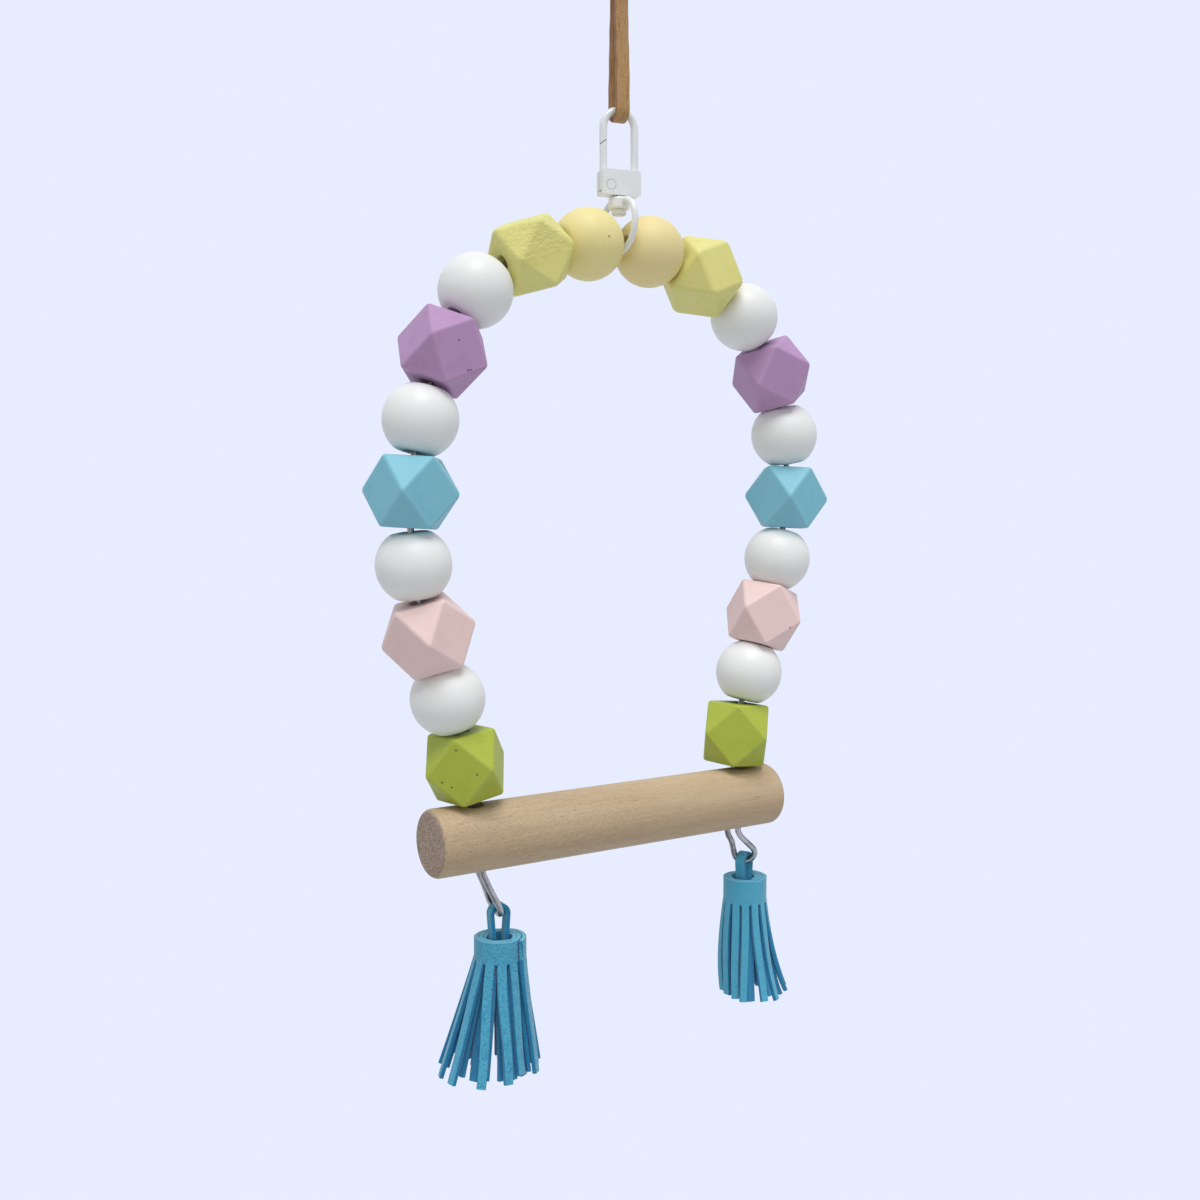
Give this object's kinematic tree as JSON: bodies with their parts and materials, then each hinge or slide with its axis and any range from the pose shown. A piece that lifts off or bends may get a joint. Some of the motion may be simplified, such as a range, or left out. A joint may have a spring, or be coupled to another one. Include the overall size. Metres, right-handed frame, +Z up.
{
  "type": "bird swing",
  "caption": "Bird swing: a wire arch threaded with round and faceted wooden beads over a round perch, hung from a suede lace by a swivel clasp, with fringed suede tassels below.",
  "frame": {"origin": "inside top of the lace's hanging eye, where the cage's hook carries the swing", "axes": "+Z up, +X to the right along the perch seen from the front, the front faces -Y"},
  "size_m": [0.148, 0.028, 0.3215],
  "materials": {
    "suede_lace": "brown suede, rough cut edges",
    "clasp_paint": "off-white gloss paint on die-cast metal",
    "spring_steel": "bright drawn spring wire",
    "wire_steel": "bright plated steel wire",
    "perch_wood": "bare sanded dowel",
    "tassel_suede": "dyed turquoise suede",
    "pale_yellow_paint": "pale yellow dye on turned wood, satin",
    "yellow_paint": "yellow dye on cut wood, satin",
    "white_paint": "white paint on turned wood, satin",
    "purple_paint": "purple dye on cut wood, satin",
    "blue_paint": "blue dye on cut wood, satin",
    "pink_paint": "pink dye on cut wood, satin",
    "green_paint": "green dye on cut wood, satin"
  },
  "bodies": {
    "hanger": {"lace": "suede_lace", "lace_knot": "suede_lace", "lace_eye": "suede_lace"},
    "clasp": {"hook_body": "clasp_paint", "hinge_pin": "clasp_paint", "swivel_rivet": "clasp_paint", "gate_spring": "spring_steel"},
    "gate": {"gate": "clasp_paint"},
    "ring": {"swivel_ring": "clasp_paint"},
    "frame": {"arch_wire": "wire_steel", "perch": "perch_wood"},
    "left_tassel": {"left_tassel_strap": "tassel_suede", "left_tassel_fringe": "tassel_suede"},
    "right_tassel": {"right_tassel_strap": "tassel_suede", "right_tassel_fringe": "tassel_suede"},
    "left_pale_round": {"left_pale_round": "pale_yellow_paint"},
    "left_yellow_facet": {"left_yellow_facet": "yellow_paint"},
    "left_white_round_1": {"left_white_round_1": "white_paint"},
    "left_purple_facet": {"left_purple_facet": "purple_paint"},
    "left_white_round_2": {"left_white_round_2": "white_paint"},
    "left_blue_facet": {"left_blue_facet": "blue_paint"},
    "left_white_round_3": {"left_white_round_3": "white_paint"},
    "left_pink_facet": {"left_pink_facet": "pink_paint"},
    "left_white_round_4": {"left_white_round_4": "white_paint"},
    "left_green_facet": {"left_green_facet": "green_paint"},
    "right_pale_round": {"right_pale_round": "pale_yellow_paint"},
    "right_yellow_facet": {"right_yellow_facet": "yellow_paint"},
    "right_white_round_1": {"right_white_round_1": "white_paint"},
    "right_purple_facet": {"right_purple_facet": "purple_paint"},
    "right_white_round_2": {"right_white_round_2": "white_paint"},
    "right_blue_facet": {"right_blue_facet": "blue_paint"},
    "right_white_round_3": {"right_white_round_3": "white_paint"},
    "right_pink_facet": {"right_pink_facet": "pink_paint"},
    "right_white_round_4": {"right_white_round_4": "white_paint"},
    "right_green_facet": {"right_green_facet": "green_paint"}
  },
  "joints": [
    {"name": "clasp_swing", "type": "hinge", "parent": "hanger", "child": "clasp", "pos_m": [0, 0, -0.05205], "axis": [0.9816, -0.1908, 0], "range_deg": [-45, 45]},
    {"name": "gate_hinge", "type": "hinge", "parent": "clasp", "child": "gate", "pos_m": [-0.00314, 0.00061, -0.07275], "axis": [0.1908, 0.9816, 0], "range_deg": [0, 25], "stiffness_Nm_per_rad": 0.002, "springref_deg": -20.05},
    {"name": "swivel", "type": "hinge", "parent": "clasp", "child": "ring", "pos_m": [0, 0, -0.07915], "axis": [0, 0, 1], "continuous": true},
    {"name": "arch_swing", "type": "hinge", "parent": "ring", "child": "frame", "pos_m": [0, 0, -0.08888], "axis": [1, 0, 0], "range_deg": [-45, 45]},
    {"name": "left_pale_round_spin", "type": "hinge", "parent": "frame", "child": "left_pale_round", "pos_m": [-0.01025, 0, -0.08953], "axis": [-0.992, 0, -0.1263], "continuous": true},
    {"name": "left_yellow_facet_spin", "type": "hinge", "parent": "frame", "child": "left_yellow_facet", "pos_m": [-0.02878, 0, -0.09415], "axis": [-0.9351, 0, -0.3544], "continuous": true},
    {"name": "left_white_round_1_spin", "type": "hinge", "parent": "frame", "child": "left_white_round_1", "pos_m": [-0.04535, 0, -0.10501], "axis": [-0.6494, 0, -0.7604], "continuous": true},
    {"name": "left_purple_facet_spin", "type": "hinge", "parent": "frame", "child": "left_purple_facet", "pos_m": [-0.05524, 0, -0.1214], "axis": [-0.4258, 0, -0.9048], "continuous": true},
    {"name": "left_white_round_2_spin", "type": "hinge", "parent": "frame", "child": "left_white_round_2", "pos_m": [-0.06165, 0, -0.13919], "axis": [-0.249, 0, -0.9685], "continuous": true},
    {"name": "left_blue_facet_spin", "type": "hinge", "parent": "frame", "child": "left_blue_facet", "pos_m": [-0.06462, 0, -0.15785], "axis": [-0.0635, 0, -0.998], "continuous": true},
    {"name": "left_white_round_3_spin", "type": "hinge", "parent": "frame", "child": "left_white_round_3", "pos_m": [-0.06404, 0, -0.17675], "axis": [0.1244, 0, -0.9922], "continuous": true},
    {"name": "left_pink_facet_spin", "type": "hinge", "parent": "frame", "child": "left_pink_facet", "pos_m": [-0.05995, 0, -0.19516], "axis": [0.299, 0, -0.9542], "continuous": true},
    {"name": "left_white_round_4_spin", "type": "hinge", "parent": "frame", "child": "left_white_round_4", "pos_m": [-0.05456, 0, -0.21238], "axis": [0.299, 0, -0.9542], "continuous": true},
    {"name": "left_green_facet_spin", "type": "hinge", "parent": "frame", "child": "left_green_facet", "pos_m": [-0.04939, 0, -0.23054], "axis": [0.145, 0, -0.9894], "continuous": true},
    {"name": "right_pale_round_spin", "type": "hinge", "parent": "frame", "child": "right_pale_round", "pos_m": [0.01033, 0, -0.08964], "axis": [0.9892, 0, -0.1465], "continuous": true},
    {"name": "right_yellow_facet_spin", "type": "hinge", "parent": "frame", "child": "right_yellow_facet", "pos_m": [0.0288, 0, -0.09503], "axis": [0.9128, 0, -0.4085], "continuous": true},
    {"name": "right_white_round_1_spin", "type": "hinge", "parent": "frame", "child": "right_white_round_1", "pos_m": [0.04517, 0, -0.10549], "axis": [0.7152, 0, -0.699], "continuous": true},
    {"name": "right_purple_facet_spin", "type": "hinge", "parent": "frame", "child": "right_purple_facet", "pos_m": [0.05563, 0, -0.12192], "axis": [0.4059, 0, -0.9139], "continuous": true},
    {"name": "right_white_round_2_spin", "type": "hinge", "parent": "frame", "child": "right_white_round_2", "pos_m": [0.06125, 0, -0.14018], "axis": [0.1776, 0, -0.9841], "continuous": true},
    {"name": "right_blue_facet_spin", "type": "hinge", "parent": "frame", "child": "right_blue_facet", "pos_m": [0.06237, 0, -0.15926], "axis": [-0.0608, 0, -0.9981], "continuous": true},
    {"name": "right_white_round_3_spin", "type": "hinge", "parent": "frame", "child": "right_white_round_3", "pos_m": [0.05894, 0, -0.17805], "axis": [-0.2958, 0, -0.9553], "continuous": true},
    {"name": "right_pink_facet_spin", "type": "hinge", "parent": "frame", "child": "right_pink_facet", "pos_m": [0.05354, 0, -0.19529], "axis": [-0.299, 0, -0.9542], "continuous": true},
    {"name": "right_white_round_4_spin", "type": "hinge", "parent": "frame", "child": "right_white_round_4", "pos_m": [0.04814, 0, -0.21252], "axis": [-0.299, 0, -0.9542], "continuous": true},
    {"name": "right_green_facet_spin", "type": "hinge", "parent": "frame", "child": "right_green_facet", "pos_m": [0.04326, 0, -0.23096], "axis": [-0.1045, 0, -0.9945], "continuous": true},
    {"name": "left_tassel_swing", "type": "hinge", "parent": "frame", "child": "left_tassel", "pos_m": [-0.0405, -0.00171, -0.27234], "axis": [0.0953, 0.9954, 0], "range_deg": [-40, 40]},
    {"name": "right_tassel_swing", "type": "hinge", "parent": "frame", "child": "right_tassel", "pos_m": [0.04677, -0.00014, -0.27109], "axis": [0.8014, -0.5982, 0], "range_deg": [-40, 40]}
  ]
}
